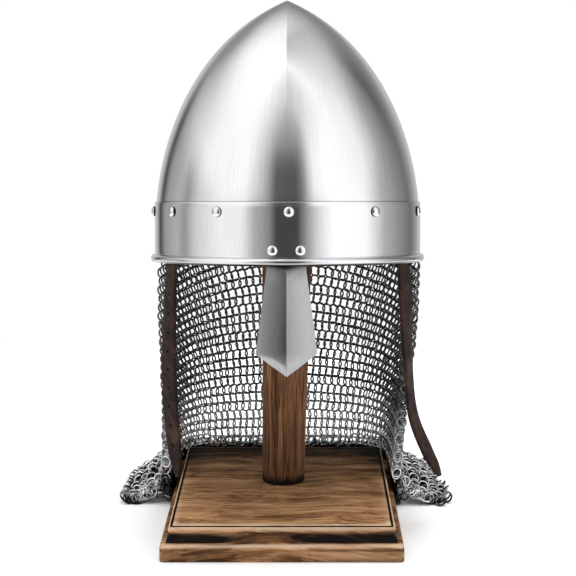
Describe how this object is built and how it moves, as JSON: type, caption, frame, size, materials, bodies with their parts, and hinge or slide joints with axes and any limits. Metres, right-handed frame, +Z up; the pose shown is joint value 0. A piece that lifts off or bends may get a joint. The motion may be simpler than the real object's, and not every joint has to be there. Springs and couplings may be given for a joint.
{
  "type": "nasal helmet with mail aventail on a wooden stand",
  "caption": "Conical steel nasal helmet with a riveted brow band, a mail curtain round the back and leather straps, on a moulded board with a round post.",
  "frame": {"origin": "on the floor, under the axis of the stand's post", "axes": "+Z up; the wearer faces -Y; +X is at the viewer's right when the viewer looks at the face"},
  "size_m": [0.2796, 0.2828, 0.4105],
  "materials": {
    "helmet_steel": "polished and lightly brushed",
    "mail_steel": "plain steel rings",
    "strap_leather": "dark brown, worn",
    "stand_wood": "scorched, stained and oiled"
  },
  "bodies": {
    "root": {"skull": "helmet_steel", "brow_band": "helmet_steel", "nasal": "helmet_steel", "band_rivet_01": "helmet_steel", "band_rivet_02": "helmet_steel", "band_rivet_03": "helmet_steel", "band_rivet_04": "helmet_steel", "band_rivet_05": "helmet_steel", "band_rivet_06": "helmet_steel", "band_rivet_07": "helmet_steel", "band_rivet_08": "helmet_steel", "band_rivet_09": "helmet_steel", "band_rivet_10": "helmet_steel", "band_rivet_11": "helmet_steel", "nasal_rivet_left": "helmet_steel", "nasal_rivet_right": "helmet_steel", "strap_rivet_left": "helmet_steel", "strap_rivet_right": "helmet_steel", "mail_wire": "mail_steel", "mail_curtain": "mail_steel", "mail_heap": "mail_steel", "strap_left": "strap_leather", "strap_right": "strap_leather", "stand_base": "stand_wood", "stand_post": "stand_wood"}
  },
  "joints": []
}
